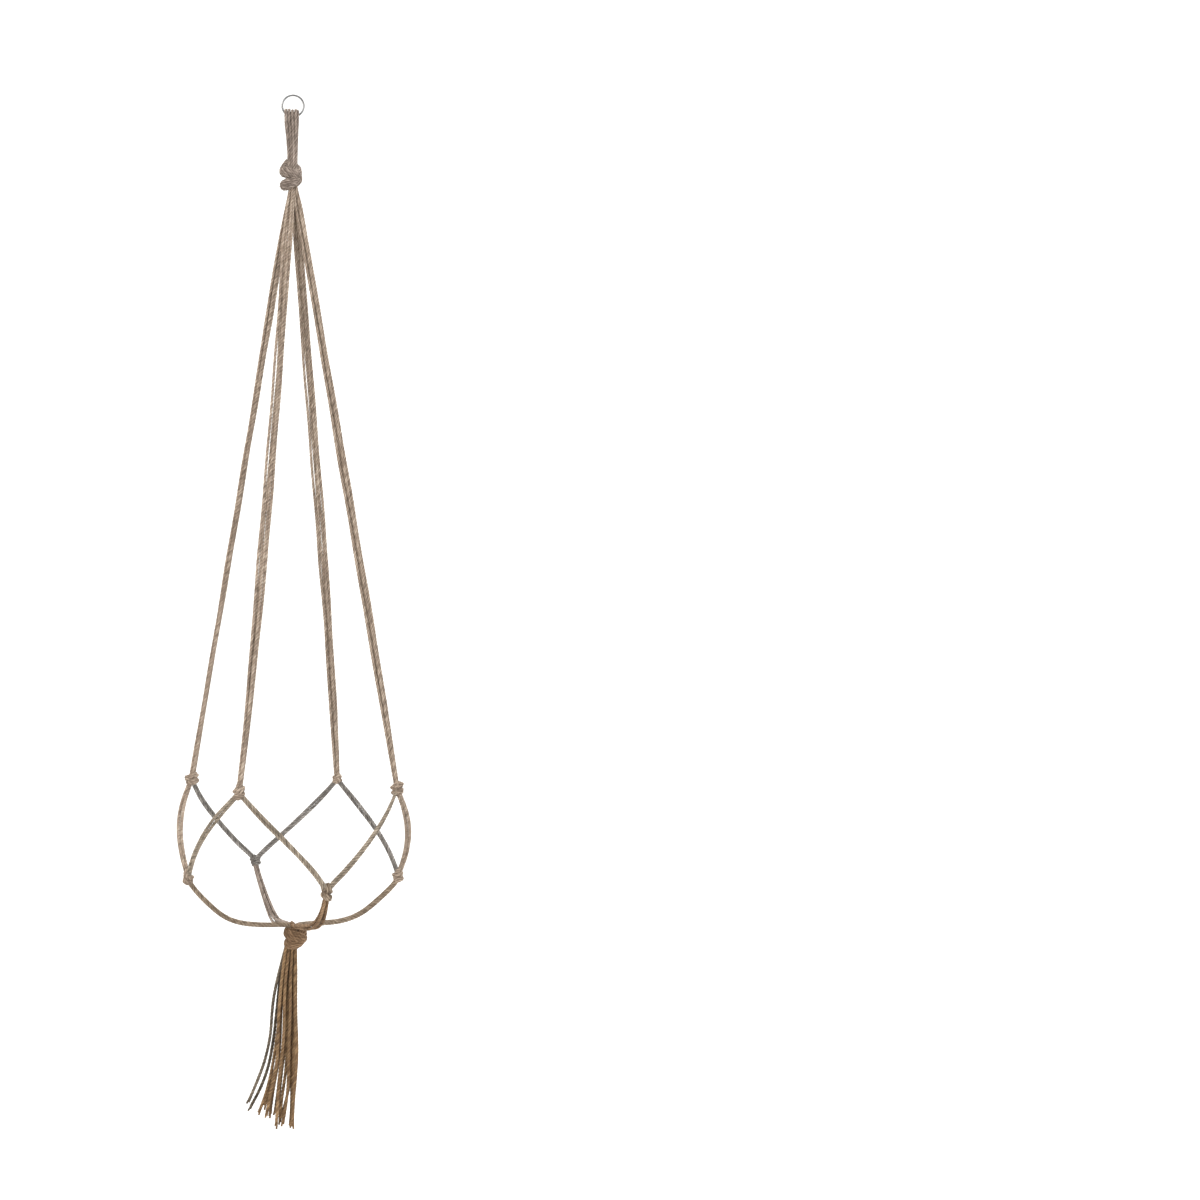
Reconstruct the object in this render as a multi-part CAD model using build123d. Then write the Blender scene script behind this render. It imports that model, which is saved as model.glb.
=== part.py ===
"""Hanging macrame plant holder: eight jute cords folded over one steel ring, knotted into a four-leg net.

Millimetres, +Z up. The origin is the inside top of the ring, where a hook carries it.
-Y is the front. Azimuths are degrees from +X, counter-clockwise seen from above.
Sixteen strands hang from the ring. The crown knot gathers them, four legs of four strands run down to
the shoulder knots, each leg splits into two pairs, neighbouring pairs join in the side knots, and all
sixteen strands meet in the base knot and end as the tassel.
"""

import os
from math import cos, pi, radians, sin, sqrt

from build123d import *

# Cord
cord_d = 3.2  # three-ply jute cord
strand_gap = 0.3  # air between strands that lie side by side
running_gap = 0.3  # air between pieces that turn against each other

# Ring: round steel wire, butt welded
ring_outer_d = 27.0
ring_wire_d = 2.2
loop_slack = 0.9  # air between the wire and the cords over it, so that they can swing

# Heights below the inside top of the ring
crown_top = 76.0
crown_height = 33.0
shoulder_level = 793.0  # middle of the shoulder knots
base_drop = 175.5  # from there down to the centre of the base knot, which is also the tassel's pivot

# Knots: largest radii
crown_radius = 13.2
shoulder_radius = 6.9
shoulder_height = 15.0
side_radius = 6.7
side_height = 17.0
base_radius = 13.6
base_crown = 16.0  # from the base knot's centre up to its top

basket_radius = 132.0  # from the axis to the shoulder knots
cord_sink = 5.0  # how far a cord runs into the knot that holds it

base_level = shoulder_level + base_drop
pitch = cord_d + strand_gap
ring_radius = (ring_outer_d - ring_wire_d) / 2
ring_centre = -(ring_radius - ring_wire_d / 2)
inner_loop_radius = ring_wire_d / 2 + loop_slack + cord_d / 2
outer_loop_radius = inner_loop_radius + pitch

# The corners of the net: name, azimuth, distance out from basket_radius, drop below shoulder_level.
shoulders = {
    "left": (155, 1, -1),
    "front": (245, 5.5, -1),
    "right": (335, -3.5, 1),
    "rear": (65, -4, 4),
}
sides = {
    "left_front": (200, -6.5, 103),
    "front_right": (290, -25, 110),
    "right_rear": (380, 0, 113),
    "rear_left": (110, 4, 106),
}

# Net cords, two strands each, between a shoulder knot and a side knot. The points between them are
# azimuth, distance out from basket_radius and drop below shoulder_level.
net_routes = {
    ("left", "left_front"): [(156.6, 1.5, 4), (166, 2, 27), (178.5, 0, 52), (190, -3, 76), (198.2, -6, 97)],
    ("left", "rear_left"): [(153.4, 1.5, 4), (144, 3, 28), (132, 4, 55), (120.5, 5, 82), (111.8, 4.5, 100)],
    ("front", "left_front"): [(243.4, 5.5, 4), (233, 4, 26), (222, 1, 50), (211, -3, 75), (201.8, -6, 97)],
    ("front", "front_right"): [(246.6, 5, 4), (257, 2, 30), (269, -5, 58), (280, -14, 83), (288, -22.5, 103)],
    ("right", "front_right"): [(333.4, -3.5, 6), (323, -5, 32), (311.5, -10, 60), (300.5, -17, 86), (292, -23, 103)],
    ("right", "right_rear"): [(336.6, -3, 6), (346, -0.5, 29), (357.5, 1.5, 56), (369, 1.5, 83), (378.2, 0.5, 107)],
    ("rear", "right_rear"): [(63.4, -3.5, 9), (54, -1, 32), (42, 1, 59), (31, 1.5, 85), (21.8, 0.5, 107)],
    ("rear", "rear_left"): [(66.6, -3.5, 9), (76, -1, 31), (87, 1.5, 56), (98.5, 3.5, 80), (108.2, 4, 100)],
}

# Base cords, four strands each, from a side knot to the base knot. The first points are distance out
# from basket_radius and drop below shoulder_level, the last ones distance from the axis, for a basket
# of foot_route_radius, and height above the base knot's centre.
foot_route_radius = 132.0
base_routes = {
    "left_front": ([(-7.5, 108), (-22, 126)], [(85, 26.5), (62, 17.5), (36, 13.5), (8, 12)]),
    "front_right": ([(-26, 115), (-34, 130)], [(78, 27.5), (60, 17.5), (36, 12.5), (8, 11.5)]),
    "right_rear": ([(-0.5, 118), (-16, 133)], [(88, 24.5), (63, 16.5), (36, 13.5), (8, 12.5)]),
    "rear_left": ([(3.5, 111), (-13, 127)], [(91, 29.5), (66, 18.5), (37, 14), (8, 12.5)]),
}

# Tassel strands, one line each, left to right in four rows from front to rear: x, y and drop below the
# base knot's centre. x and y are for strands tassel_pitch apart where they leave the knot.
tassel_pitch = 3.5
tassel_routes = [
    [(-7.2, -5.2, 7), (-12.5, -6.8, 44), (-15.2, -7.6, 84), (-16.8, -8.4, 126), (-22, -9.5, 168), (-29.5, -11, 207)],
    [(-3.7, -5.2, 7), (-7.8, -6.9, 45), (-9.8, -7.8, 86), (-11.2, -8.8, 128), (-15.5, -10, 174), (-20.5, -12, 219)],
    [(-0.2, -5.2, 7), (-2.6, -6.8, 44), (-3.9, -7.8, 87), (-4.8, -8.6, 130), (-7, -9, 174), (-10.8, -9.5, 217)],
    [(3.2, -5.2, 7), (2.2, -6.9, 45), (3.6, -8, 87), (4, -9, 131), (3, -9.8, 176), (0.2, -11, 220)],
    [(-7.2, -1.7, 7), (-16.5, -2.4, 40), (-25, -3, 80), (-27.6, -3.6, 121), (-37, -4.6, 161), (-54.2, -6, 192.5)],
    [(-3.7, -1.7, 7), (-10.4, -2.6, 44), (-15.9, -3.2, 85), (-19.5, -4.2, 127), (-29, -5, 169), (-40.4, -6.5, 205)],
    [(-0.2, -1.7, 7), (-4.6, -2.5, 45), (-6.8, -3.2, 87), (-8, -3.8, 130), (-11, -4.4, 174), (-16, -5.5, 216)],
    [(3.2, -1.7, 7), (0.6, -2.4, 44), (0.4, -3.2, 86), (0.2, -3.8, 130), (-1.5, -3.6, 176), (-5.2, -3.5, 221)],
    [(-7.2, 1.7, 7), (-13.6, 2.4, 44), (-18.3, 2.8, 85), (-20.6, 3.2, 123), (-31, 3.8, 165), (-50.3, 5, 203.5)],
    [(-3.7, 1.7, 7), (-9.4, 2.5, 45), (-12.9, 3, 86), (-14.8, 3.8, 128), (-20, 4.6, 171), (-25.5, 6, 213)],
    [(-0.2, 1.7, 7), (-4.4, 2.6, 44), (-6.9, 3.1, 86), (-8.2, 4, 129), (-12.5, 5, 171), (-19, 6, 211)],
    [(3.2, 1.7, 7), (1.8, 2.5, 45), (4.1, 3.2, 88), (4.6, 4.4, 132), (3.2, 6, 177), (-0.8, 8, 220)],
    [(-7.2, 5.2, 7), (-12, 6.8, 45), (-14.4, 7.8, 85), (-16.4, 8.8, 127), (-24, 10, 167), (-34, 12, 204)],
    [(-3.7, 5.2, 7), (-7.4, 7, 44), (-9.4, 8.2, 86), (-11.4, 9, 129), (-16.5, 10, 171), (-24, 11, 211)],
    [(-0.2, 5.2, 7), (-2.4, 6.9, 45), (-3.5, 8, 87), (-4.6, 9.2, 130), (-8, 10.4, 173), (-14, 12, 214)],
    [(3.2, 5.2, 7), (2, 7, 44), (2.6, 8.2, 86), (3.2, 9.4, 130), (1.4, 10.6, 174), (-3.5, 12.5, 216)],
]


def place(azimuth, radius, depth):
    """A point from its azimuth, its distance from the axis and its depth below the origin."""
    return Vector(radius * cos(radians(azimuth)), radius * sin(radians(azimuth)), -depth)


def corner_radii(points):
    """One radius for each corner: 0.45 of the shorter run over the tangent of half the turn."""
    radii = []
    for before, corner, after in zip(points, points[1:], points[2:]):
        arriving = corner - before
        leaving = after - corner
        half_turn = radians(arriving.get_angle(leaving) / 2)
        radii.append(0.45 * min(arriving.length, leaving.length) * cos(half_turn) / sin(half_turn))
    return radii


def tube(points, radii=None):
    """One strand as a round tube along straight runs joined by tangent arcs."""
    if len(points) == 2:
        path = Line(*points)
        smallest = None
    else:
        radii = radii or corner_radii(points)
        path = FilletPolyline(*points, radius=radii)
        smallest = min(radii)
    section = Plane(origin=path @ 0, z_dir=path % 0) * Circle(cord_d / 2)
    solid = sweep(section, path=path)
    expected = pi * cord_d**2 / 4 * path.length
    return solid, path.length, smallest, solid.volume / expected


def bundle(route, azimuths, offsets):
    """Strands that follow one route side by side; each offset is across and out of the net's surface."""
    strands = []
    for across, out in offsets:
        points = []
        for i, here in enumerate(route):
            tangent = (route[min(i + 1, len(route) - 1)] - route[max(i - 1, 0)]).normalized()
            radial = Vector(cos(radians(azimuths[i])), sin(radians(azimuths[i])), 0)
            sideways = tangent.cross(radial).normalized()
            outward = sideways.cross(tangent).normalized()
            points.append(here + sideways * across + outward * out)
        strands.append(tube(points))
    return strands


def knot(middle, height, radius, neck):
    """A two-lobed knot of cords that run through it from top to bottom, as one closed solid."""
    top = height / 2
    flank = radius * 0.94
    waist = radius * 0.86
    upper = [(neck, top), (flank, top * 0.8), (radius, top * 0.5), (flank, top * 0.2), (waist, 0)]
    lower = [(x, -z) for x, z in reversed(upper[:-1])]
    outline = [(x, 0, z) for x, z in [(0, top), *upper, *lower, (0, -top)]]
    return Pos(*middle) * revolve(make_face(Polyline(*outline, close=True)), axis=Axis.Z)


def base_knot():
    """The base knot: a ball below, where the tassel turns on it, and a shouldered crown above."""
    shoulder = 0.4 * base_crown
    top_radius = 0.65 * base_radius
    profile = Polyline((0, 0, -base_radius), (0, 0, base_crown), (top_radius, 0, base_crown))
    bulge = (0.93 * base_radius, 0, 0.8 * base_crown)
    profile += ThreePointArc((top_radius, 0, base_crown), bulge, (base_radius, 0, shoulder))
    profile += Line((base_radius, 0, shoulder), (base_radius, 0, 0))
    low = base_radius * sin(radians(45))
    profile += ThreePointArc((base_radius, 0, 0), (low, 0, -low), (0, 0, -base_radius))
    return Pos(0, 0, -base_level) * revolve(make_face(profile), axis=Axis.Z)


def wire_height(x):
    """Height of the middle of the ring's lower wire at x."""
    return ring_centre - sqrt(ring_radius**2 - x**2)


def loop_seats():
    """Where each loop lies on the ring: x, half width and apex height. Four cords lie on the wire and
    four in the grooves between them."""
    seats = []
    for x in (-1.5 * pitch, -0.5 * pitch, 0.5 * pitch, 1.5 * pitch):
        seats.append((x, inner_loop_radius, wire_height(x) + inner_loop_radius))
    lower = list(seats)
    for x in (-2.06 * pitch, -1.02 * pitch, 0.0, 1.02 * pitch):
        resting = [z + sqrt(pitch**2 - (x - near) ** 2) for near, _, z in lower if abs(x - near) < pitch]
        seats.append((x, outer_loop_radius, max(resting)))
    return seats


def top_loop(seat, foot_x, foot_y):
    """One cord folded over the ring, with both ends at the top of the crown knot."""
    x, half_width, apex = seat
    straight = apex - half_width - 6
    foot = -crown_top + running_gap
    points = [
        Vector(foot_x, -foot_y, foot),
        Vector(x, -half_width, straight),
        Vector(x, -half_width, apex),
        Vector(x, half_width, apex),
        Vector(x, half_width, straight),
        Vector(foot_x, foot_y, foot),
    ]
    radii = corner_radii(points)
    radii[1] = radii[2] = 0.96 * half_width
    return tube(points, radii)


nodes = {}
lengths = {}


def add(name, strands):
    """Keep a node made of strands, with the length of its first one."""
    nodes[name] = Compound(children=[s[0] for s in strands])
    nodes[name].label = name
    lengths[name] = strands


nodes["ring"] = Pos(0, 0, ring_centre) * Rot(90, 0, 0) * Torus(ring_radius, ring_wire_d / 2)

grid = (-1.5 * pitch, -0.5 * pitch, 0.5 * pitch, 1.5 * pitch)
for number, seat in enumerate(loop_seats()):
    foot_y = 0.5 * pitch if number < 4 else 1.5 * pitch
    add(f"top_loop_{number + 1}", [top_loop(seat, grid[number % 4], foot_y)])

crown_middle = Vector(0, 0, -crown_top - crown_height / 2)
nodes["crown_knot"] = knot(crown_middle, crown_height, crown_radius, 2.7 * pitch)

shoulder_at = {}
for name, (azimuth, out, drop) in shoulders.items():
    shoulder_at[name] = place(azimuth, basket_radius + out, shoulder_level + drop)
    nodes[f"shoulder_knot_{name}"] = knot(shoulder_at[name], shoulder_height, shoulder_radius, 1.25 * cord_d)
    leg_top = place(azimuth, pitch * sqrt(2), crown_top + crown_height - cord_sink)
    into = (shoulder_at[name] - leg_top).normalized()
    route = [leg_top, shoulder_at[name] - into * (shoulder_height / 2 - cord_sink)]
    diamond = pitch / sqrt(2)
    offsets = [(diamond, 0), (-diamond, 0), (0, diamond), (0, -diamond)]
    add(f"leg_{name}", bundle(route, [azimuth, azimuth], offsets))

side_at = {}
for name, (azimuth, out, drop) in sides.items():
    side_at[name] = place(azimuth, basket_radius + out, shoulder_level + drop)
    nodes[f"side_knot_{name}"] = knot(side_at[name], side_height, side_radius, 1.25 * cord_d)

for (shoulder, side), points in net_routes.items():
    route = [place(a, basket_radius + out, shoulder_level + drop) for a, out, drop in points]
    azimuths = [a for a, _, _ in points]
    add(f"net_{shoulder}_to_{side}", bundle(route, azimuths, [(pitch / 2, 0), (-pitch / 2, 0)]))

half = pitch / 2
square = [(half, half), (half, -half), (-half, half), (-half, -half)]
inward = basket_radius / foot_route_radius
for name, (high, low) in base_routes.items():
    azimuth = sides[name][0]
    route = [place(azimuth, basket_radius + out, shoulder_level + drop) for out, drop in high]
    route += [place(azimuth, radius * inward, base_level - rise) for radius, rise in low]
    add(f"base_cords_{name}", bundle(route, [azimuth] * len(route), square))

nodes["base_knot"] = base_knot()

hollow = Pos(0, 0, -base_level) * Sphere(base_radius + running_gap)
spread = pitch / tassel_pitch
for number, points in enumerate(tassel_routes):
    route = [Vector(x * spread, y * spread, -base_level - drop) for x, y, drop in points]
    solid, length, smallest, ratio = tube(route)
    add(f"tassel_strand_{number + 1:02d}", [(solid - hollow, length, smallest, ratio)])

os.makedirs("parts", exist_ok=True)
for name, shape in nodes.items():
    export_step(shape, f"parts/{name}.step")

for name, strands in lengths.items():
    for _, length, smallest, ratio in strands:
        arc = f"smallest arc {smallest:.1f}" if smallest else "straight"
        print(f"{name}: length {length:.1f} mm, {arc}, volume ratio {ratio:.4f}")
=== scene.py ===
import math

import bpy
import numpy as np
from mathutils import Matrix, Vector


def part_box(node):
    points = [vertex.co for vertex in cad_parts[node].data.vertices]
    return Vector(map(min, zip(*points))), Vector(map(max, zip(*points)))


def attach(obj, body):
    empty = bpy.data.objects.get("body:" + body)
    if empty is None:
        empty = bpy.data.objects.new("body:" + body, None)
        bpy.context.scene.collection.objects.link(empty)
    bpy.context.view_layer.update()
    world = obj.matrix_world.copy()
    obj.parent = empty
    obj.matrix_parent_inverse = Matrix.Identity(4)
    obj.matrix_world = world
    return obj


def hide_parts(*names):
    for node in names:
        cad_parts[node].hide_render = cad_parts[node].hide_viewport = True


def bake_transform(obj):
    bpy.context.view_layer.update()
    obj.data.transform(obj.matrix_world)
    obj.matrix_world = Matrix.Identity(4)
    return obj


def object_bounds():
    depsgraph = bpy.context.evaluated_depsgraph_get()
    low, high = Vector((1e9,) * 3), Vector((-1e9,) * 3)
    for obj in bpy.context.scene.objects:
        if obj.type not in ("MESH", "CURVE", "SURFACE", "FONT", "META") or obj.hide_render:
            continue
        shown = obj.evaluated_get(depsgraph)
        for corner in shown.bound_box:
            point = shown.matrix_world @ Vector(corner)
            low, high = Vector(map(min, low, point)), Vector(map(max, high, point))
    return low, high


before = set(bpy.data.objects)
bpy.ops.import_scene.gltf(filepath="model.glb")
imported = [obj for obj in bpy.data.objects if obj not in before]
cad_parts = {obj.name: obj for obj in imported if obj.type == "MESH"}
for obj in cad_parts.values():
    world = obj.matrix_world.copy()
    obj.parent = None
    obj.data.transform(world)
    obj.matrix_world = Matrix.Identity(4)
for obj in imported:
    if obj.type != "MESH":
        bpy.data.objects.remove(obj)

cad_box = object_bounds()

# The room: a pale swept floor and backdrop under soft studio lamps, and the camera. The hanger hangs
# free in the middle, as from a ceiling hook that is left out, with its tassel clear of the floor.
object_middle = (cad_box[0] + cad_box[1]) / 2


def linear(hex_colour):
    """An sRGB hex colour as linear RGBA."""
    channels = [int(hex_colour[i:i + 2], 16) / 255 for i in (1, 3, 5)]
    return (*[c / 12.92 if c <= 0.04045 else ((c + 0.055) / 1.055) ** 2.4 for c in channels], 1.0)


def add_node(tree, kind, inputs=None, **settings):
    """A node with its settings, and its inputs set to values or linked to sockets."""
    made = tree.nodes.new(kind)
    for key, value in settings.items():
        setattr(made, key, value)
    for key, value in (inputs or {}).items():
        if isinstance(value, bpy.types.NodeSocket):
            tree.links.new(value, made.inputs[key])
        else:
            made.inputs[key].default_value = value
    return made


def new_material(name, **surface):
    """A Principled material with these inputs, its tree and its shader."""
    made = bpy.data.materials.new(name)
    made.use_nodes = True
    made.node_tree.nodes.clear()
    shader = add_node(made.node_tree, "ShaderNodeBsdfPrincipled", surface)
    add_node(made.node_tree, "ShaderNodeOutputMaterial", {"Surface": shader.outputs[0]})
    return made, made.node_tree, shader


floor_level = cad_box[0].z - 0.30
sweep_radius = 1.2
backdrop_y = 2.6
profile = [(-4.0, floor_level), (backdrop_y - sweep_radius, floor_level)]
for step in range(1, 13):
    turn = math.radians(90) * step / 12
    y = backdrop_y - sweep_radius + sweep_radius * math.sin(turn)
    profile.append((y, floor_level + sweep_radius * (1 - math.cos(turn))))
profile.append((backdrop_y, floor_level + 5.0))
floor_mesh = bpy.data.meshes.new("studio_sweep")
floor_points = [(x, y, z) for x in (-6.0, 6.0) for y, z in profile]
count = len(profile)
floor_faces = [(i, i + count, i + count + 1, i + 1) for i in range(count - 1)]
floor_mesh.from_pydata(floor_points, [], floor_faces)
floor_mesh.shade_smooth()
sweep = bpy.data.objects.new("studio_sweep", floor_mesh)
bpy.context.scene.collection.objects.link(sweep)
sweep_material = new_material(
    "matt white studio paper", **{"Base Color": linear("#f4f4f3"), "Roughness": 0.95}
)[0]
floor_mesh.materials.append(sweep_material)

# A level camera in front of the hanger. Its lens is shifted sideways and up, as on a view camera, so
# that the hanger hangs left of the middle with its cords' uprights parallel.
camera_data = bpy.data.cameras.new("camera")
camera_data.lens = 46.8
camera_data.sensor_width = 36.0
camera_data.shift_x = 0.2558
camera_data.shift_y = 0.0417
camera = bpy.data.objects.new("camera", camera_data)
camera.location = (0.0, -1.8, -0.639)
camera.rotation_euler = (math.radians(90), 0.0, 0.0)
bpy.context.scene.collection.objects.link(camera)
bpy.context.scene.camera = camera


def soft_lamp(name, place, size, watts, colour):
    """A square area lamp that faces the middle of the hanger."""
    data = bpy.data.lights.new(name, "AREA")
    data.shape = "SQUARE"
    data.size = size
    data.energy = watts
    data.color = linear(colour)[:3]
    lamp = bpy.data.objects.new(name, data)
    lamp.location = place
    lamp.rotation_euler = (object_middle - Vector(place)).to_track_quat("-Z", "Y").to_euler()
    bpy.context.scene.collection.objects.link(lamp)


soft_lamp("key_lamp", (-1.6, -2.6, 1.2), 1.4, 55, "#fffaf4")
soft_lamp("fill_lamp", (2.6, -2.0, -0.2), 1.8, 30, "#f8fbff")
soft_lamp("top_lamp", (0.2, 0.4, 1.9), 1.6, 30, "#ffffff")
soft_lamp("back_lamp", (0.0, 1.2, 1.6), 2.0, 25, "#ffffff")
world = bpy.data.worlds.new("studio")
bpy.context.scene.world = world
world.use_nodes = True
world.node_tree.nodes["Background"].inputs["Color"].default_value = linear("#ffffff")
world.node_tree.nodes["Background"].inputs["Strength"].default_value = 1.0
bpy.context.scene.view_settings.view_transform = "Standard"

# The ring: round steel wire bent to a circle, butt welded at the top and nickel plated, so that it is
# bright with a faint bead at the weld. The ceiling hook carries it and the cords hang over it.
ring_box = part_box("ring")
ring_wire = (ring_box[1].y - ring_box[0].y) / 2
ring_radius = (ring_box[1].z - ring_box[0].z) / 2 - ring_wire
ring_centre = (ring_box[0].z + ring_box[1].z) / 2
weld_half_length = 0.0007
weld_height = 0.09  # share of the wire's radius
ring_points, ring_faces = [], []
around_ring, around_wire = 144, 28
for i in range(around_ring):
    turn = 2 * math.pi * i / around_ring
    from_weld = abs((turn - math.pi / 2 + math.pi) % (2 * math.pi) - math.pi) * ring_radius
    swell = ring_wire * (1 + weld_height * math.exp(-((from_weld / weld_half_length) ** 2)))
    for j in range(around_wire):
        side = 2 * math.pi * j / around_wire
        out = ring_radius + swell * math.cos(side)
        ring_points.append((out * math.cos(turn), swell * math.sin(side), ring_centre + out * math.sin(turn)))
        here, there = i * around_wire, (i + 1) % around_ring * around_wire
        beside = (j + 1) % around_wire
        ring_faces.append((here + j, here + beside, there + beside, there + j))
ring_mesh = bpy.data.meshes.new("hanging_ring")
ring_mesh.from_pydata(ring_points, [], ring_faces)
ring_mesh.shade_smooth()
hanging_ring = bpy.data.objects.new("hanging_ring", ring_mesh)
bpy.context.scene.collection.objects.link(hanging_ring)

# Nickel plate over drawn wire: a plain grey metal with faint draw lines and finger wear.
plated_steel, steel_tree, steel_shader = new_material(
    "nickel-plated steel wire, polished",
    **{"Base Color": linear("#7c7c7c"), "Metallic": 1.0, "Roughness": 0.2},
)
on_ring = add_node(steel_tree, "ShaderNodeTexCoord").outputs["Object"]
wear = add_node(
    steel_tree,
    "ShaderNodeTexNoise",
    {"Vector": on_ring, "Scale": 1 / 0.004, "Detail": 4.0},  # finger marks about 4 mm across
).outputs[0]
worn = add_node(
    steel_tree,
    "ShaderNodeMapRange",
    {"Value": wear, "From Min": 0.3, "From Max": 0.7, "To Min": 0.13, "To Max": 0.32},
)
steel_tree.links.new(worn.outputs[0], steel_shader.inputs["Roughness"])
scratches = add_node(
    steel_tree,
    "ShaderNodeTexNoise",
    {"Vector": on_ring, "Scale": 1 / 0.0006, "Detail": 2.0},  # draw marks about 0.6 mm across
).outputs[0]
scratched = add_node(
    steel_tree, "ShaderNodeBump", {"Strength": 0.12, "Distance": 0.00003, "Height": scratches}
)
steel_tree.links.new(scratched.outputs[0], steel_shader.inputs["Normal"])
ring_mesh.materials.append(plated_steel)
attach(hanging_ring, "hook_ring")
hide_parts("ring")

# The cord: undyed three-ply jute, laid by twisting three soft yarns together. Eight lengths of it make
# the whole hanger. Jute gives long streaky fibres, deep grooves between the plies and stray hairs.
cord_d = 0.0032
strand_gap = 0.0003
pitch_across = cord_d + strand_gap
lay_length = 0.0125  # one full turn of the plies
crown_share = 1.10  # the plies' crowns over the cord's mean diameter


def math_node(tree, operation, first, second, third):
    """The result of a Math node in a tree."""
    inputs = {0: first, 1: second, 2: third}
    return add_node(tree, "ShaderNodeMath", inputs, operation=operation).outputs[0]


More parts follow.
